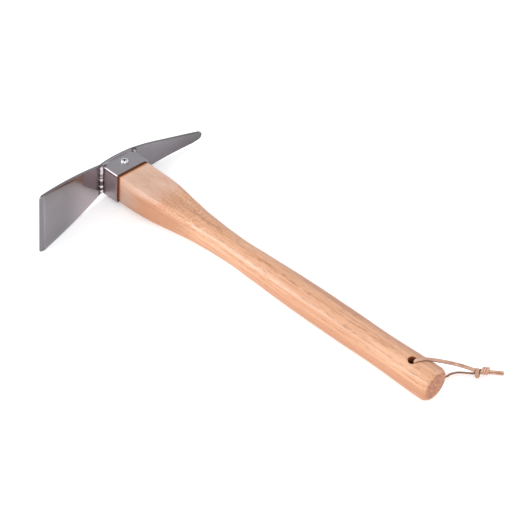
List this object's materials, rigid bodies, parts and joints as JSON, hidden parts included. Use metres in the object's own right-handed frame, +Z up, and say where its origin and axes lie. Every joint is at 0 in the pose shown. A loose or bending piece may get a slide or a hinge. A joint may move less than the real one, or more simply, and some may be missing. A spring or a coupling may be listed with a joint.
{
  "type": "hand mattock",
  "caption": "Short-handled hand mattock with a steel plate head that has a broad hoe blade and a narrow pick, on a turned wooden handle with a leather hanging lace.",
  "frame": {"origin": "Middle of the tool's box at the level of the ground it lies on, as stored: resting on the hoe blade's lower edge, the head's lower edge at the root of the pick and the butt.", "axes": "+Z up from the ground, +Y along the handle towards the head, +X towards the pick"},
  "size_m": [0.2172, 0.4285, 0.0633],
  "materials": {
    "wood": "oiled",
    "steel": "satin",
    "weld": "bright",
    "screw": "bright",
    "lace": "matte"
  },
  "bodies": {
    "root": {"handle": "wood", "socket": "steel", "head_plate": "steel", "hoe_weld": "weld", "pick_weld": "weld", "socket_screw": "screw", "lace_strands": "lace", "lace_knot": "lace", "lace_tails": "lace"}
  },
  "joints": []
}
